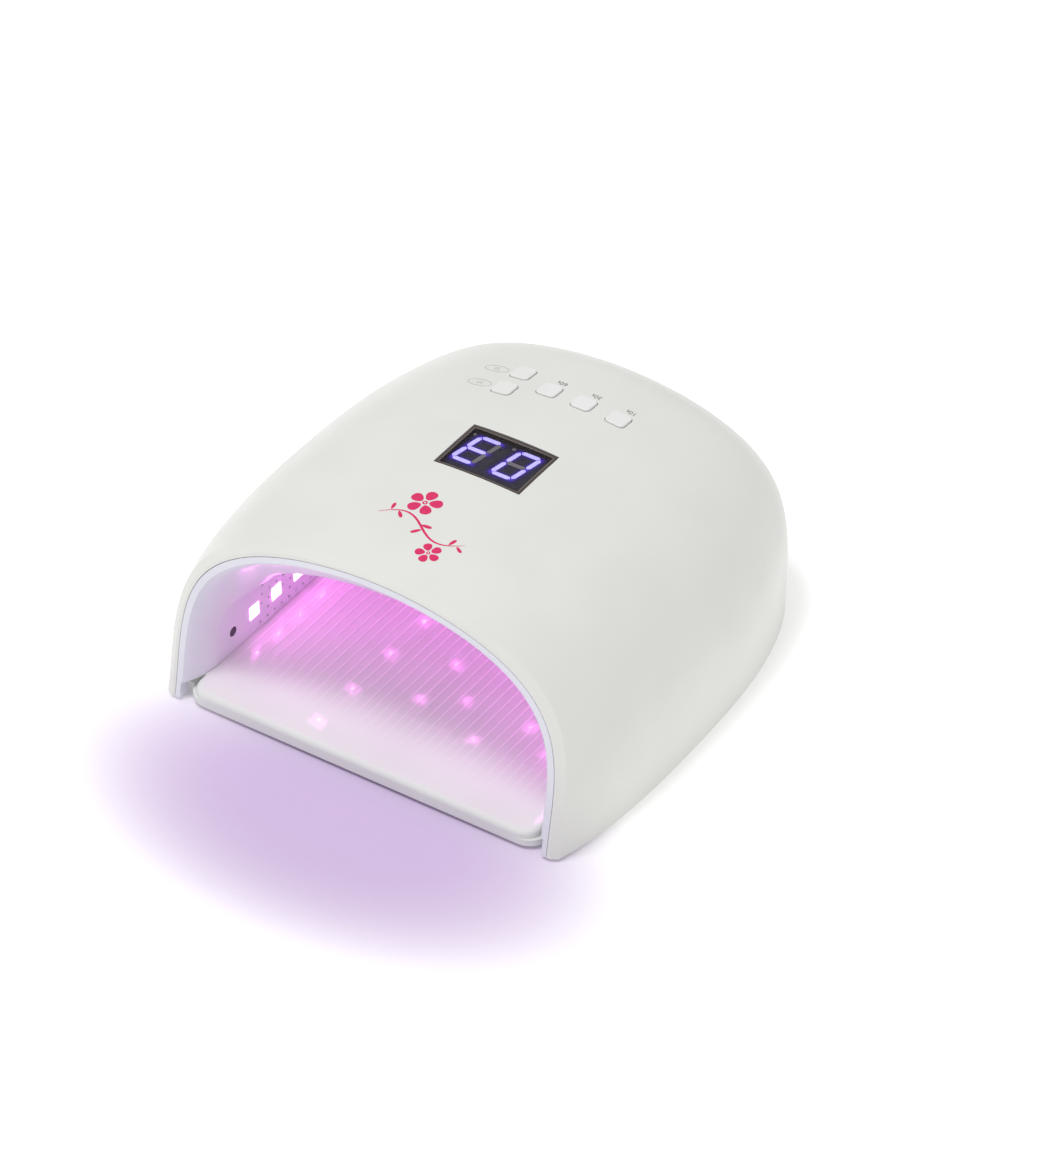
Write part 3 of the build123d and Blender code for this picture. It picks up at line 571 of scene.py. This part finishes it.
def led_cores():
    """Hot round cores on the lit faces.  A square grid (s, t) becomes a disc without a pole by
    x = s sqrt(1 - t t / 2) and y = t sqrt(1 - s s / 2)."""
    s, t = np.meshgrid(np.linspace(-1.0, 1.0, 7), np.linspace(-1.0, 1.0, 7), indexing="ij")
    disc = np.stack([s * np.sqrt(1 - t * t / 2), t * np.sqrt(1 - s * s / 2)], axis=2).reshape(-1, 2)
    disc *= CORE_RADIUS
    parts = []
    for centre, normal in led_faces():
        side = np.cross(normal, (0.0, 1.0, 0.0))
        side /= np.linalg.norm(side)
        points = centre + CORE_LIFT * normal + disc[:, :1] * side + disc[:, 1:] * np.cross(normal, side)
        parts.append((points, grid_faces(7, 7)))
    points, faces = joined(parts)
    wear(surface("led_cores", points, faces), led_light("led_core", CORE_POWER), "housing")


# ---------------------------------------------------------------- display
def inset(sides, left, right, front, rear):
    """Rectangle moved in on each side; sides are (left, right, front, rear)."""
    return sides[0] + left, sides[1] - right, sides[2] + front, sides[3] - rear


def around(sides, count=24):
    """Points round a rectangle, counter-clockwise and closed, count to a side."""
    left, right, front, rear = sides
    corners = np.array([(left, front), (right, front), (right, rear), (left, rear), (left, front)])
    runs = [np.linspace(a, b, count, endpoint=False) for a, b in zip(corners[:-1], corners[1:])]
    return np.concatenate(runs + [corners[:1]])


def mitred_band(name, outer, inner, columns=4):
    """Flat band between two rectangles: each point is outside + t (inside - outside)."""
    outside, inside = around(outer), around(inner)
    t = np.linspace(0.0, 1.0, columns)[None, :, None]
    flat = (outside[:, None] + (inside - outside)[:, None] * t).reshape(-1, 2)
    return surface(name, drawn_flat(flat), grid_faces(len(outside), columns))


def display_border():
    """Dark border printed round the lens, and the fine paler line along its inner edge."""
    low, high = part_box("display_window")
    edge = inset((low.x, high.x, low.y, high.y), BORDER_GAP, BORDER_GAP, BORDER_GAP, BORDER_GAP)
    brown = dark_plastic("border_brown", shade(74, 66, 62), shade(100, 90, 84), 0.3)
    fine = print_finish("border_line", shade(134, 120, 114), shade(112, 100, 96))
    border_end = inset(edge, *BORDER_WIDTHS)
    line_end = inset(border_end, *BORDER_LINE_WIDTHS)
    bands = ((mitred_band("display_border", edge, border_end), brown),
             (mitred_band("display_border_line", border_end, line_end), fine))
    for piece, finish in bands:
        laid_on(piece, "display_window", BORDER_LIFT)
        wear(piece, finish, "housing")


def lit_bars():
    """End points of the lit bars' middle lines, in metres.  A digit is a grid of one cell by two, each wide
    by tall millimetres between its bars' middles, and half a bar in from its corner.  It leans by slant."""
    left, pitch, wide, tall, slant, front, half = -19.9, 20.1, 10.0, 9.1, 0.184, -10.5, 1.05
    spans = {"front": (0, 0, 1, 0), "middle": (0, 1, 1, 1), "rear": (0, 2, 1, 2), "front_left": (0, 0, 0, 1),
             "front_right": (1, 0, 1, 1), "rear_left": (0, 1, 0, 2), "rear_right": (1, 1, 1, 2)}
    dark = {0: ("front_right", "rear_right"), 1: ("middle",)}
    bars = []
    for digit, unlit in dark.items():
        for label, (c0, r0, c1, r1) in spans.items():
            if label not in unlit:
                ends = [(left + digit * pitch + half + c * wide, r * tall) for c, r in ((c0, r0), (c1, r1))]
                bars.append([(x + slant * (y + half), y + half + front) for x, y in ends])
    return np.array(bars) * MM


def display_glow():
    """Film over the module's face with the lit bars' halo of light painted on it: its glow falls off as
    exp(-distance / 1.3 mm) from the nearest lit bar, whose half width is 0.8 mm, and goes to nothing over
    the last 2 mm at the module's edges."""
    low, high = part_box("display_module")
    x = np.linspace(low.x, high.x, 121)
    y = np.linspace(low.y, high.y, 82)
    grid_x, grid_y = np.meshgrid(x, y)
    places = np.stack([grid_x.ravel(), grid_y.ravel()], axis=1)
    bars = lit_bars()
    start, span = bars[:, 0], bars[:, 1] - bars[:, 0]
    offset = places[:, None, :] - start[None]
    share = np.clip((offset * span[None]).sum(2) / (span ** 2).sum(1)[None], 0.0, 1.0)
    distance = np.linalg.norm(offset - share[..., None] * span[None], axis=2).min(1)
    edge = np.minimum(places - (low.x, low.y), (high.x, high.y) - places).min(axis=1)
    glow = np.exp(-np.maximum(distance - 0.8 * MM, 0.0) / (1.3 * MM)) * np.clip(edge / (2 * MM), 0.0, 1.0)
    points = np.column_stack([places, np.full(len(places), high.z + 0.02 * MM)])
    faces = grid_faces(len(y), len(x))[:, ::-1]
    film = surface("display_glow", points, faces, ("glow", glow))
    # painted halo of the bars' light: the film glows, though it is no lamp
    finish = Finish("glow_film", Base_Color=(0.0, 0.0, 0.0, 1.0), Roughness=0.6, Emission_Strength=0.8)
    amount = finish.node("ShaderNodeAttribute", {"attribute_name": "glow"}, {}, "Fac")
    finish.set(Emission_Color=finish.mix(amount, shade(30, 12, 110), shade(96, 60, 235)), Alpha=amount)
    wear(film, finish, "housing")


# ---------------------------------------------------------------- stage
def add_floor():
    """Pale floor with a painted pool of faint lavender light where the lamp's light spills from its mouth;
    the floor's glow is left out there.
    """
    corners = 6.0 * np.array([(-1, -1, 0), (1, -1, 0), (1, 1, 0), (-1, 1, 0)])
    floor = surface("floor", corners, np.array([(0, 1, 2, 3)]))
    finish = Finish("floor_white", Roughness=0.6, IOR=1.3, Emission_Strength=0.3)
    x, y = finish.axes()[:2]
    across = (x - SPILL_CENTRE[0]) / SPILL_RADII[0]
    ahead = (y - SPILL_CENTRE[1]) / SPILL_RADII[1]
    # painted pool of lavender light: tinted colour and no floor glow inside the ellipse
    painted_spill = 1 - (across * across + ahead * ahead).rise(0.1, 2.3)
    finish.set(Base_Color=finish.mix(painted_spill, shade(252, 252, 252), shade(214, 196, 228)),
               Emission_Color=finish.mix(painted_spill, shade(255, 255, 255), (0.0, 0.0, 0.0, 1.0)))
    floor.data.materials.append(finish.material)


def add_light(name, place, size, power):
    """Square soft box aimed at the lamp."""
    data = bpy.data.lights.new(name, "AREA")
    data.size = size
    data.energy = power
    light = bpy.data.objects.new(name, data)
    aim = Vector(LAMP_MIDDLE) - Vector(place)
    light.matrix_world = Matrix.Translation(place) @ aim.to_track_quat("-Z", "Y").to_matrix().to_4x4()
    bpy.context.scene.collection.objects.link(light)


def add_world(strength):
    """Even white surroundings."""
    world = bpy.data.worlds.new("studio")
    world.use_nodes = True
    background = world.node_tree.nodes["Background"]
    background.inputs["Color"].default_value = (1.0, 1.0, 1.0, 1.0)
    background.inputs["Strength"].default_value = strength
    bpy.context.scene.world = world


def add_camera():
    """Long lens from the front right, 38 degrees above the table."""
    forward = Vector(CAMERA_FORWARD).normalized()
    right = Vector(CAMERA_RIGHT).normalized()
    up = right.cross(forward)
    data = bpy.data.cameras.new("camera")
    data.sensor_width = 36.0
    data.lens = CAMERA_LENS
    data.clip_start = 0.05
    data.clip_end = 50.0
    camera = bpy.data.objects.new("camera", data)
    turn = Matrix((right, up, -forward)).transposed().to_4x4()
    camera.matrix_world = Matrix.Translation(CAMERA_PLACE) @ turn
    bpy.context.scene.collection.objects.link(camera)
    bpy.context.scene.camera = camera


# ---------------------------------------------------------------- build
dress_nodes()
add_prints()
led_cores()
display_border()
display_glow()
add_floor()
add_world(0.57)
add_light("key", (-0.25, -0.45, 1.9), 0.55, 15.0)
add_camera()
bpy.context.scene.view_settings.view_transform = "Standard"
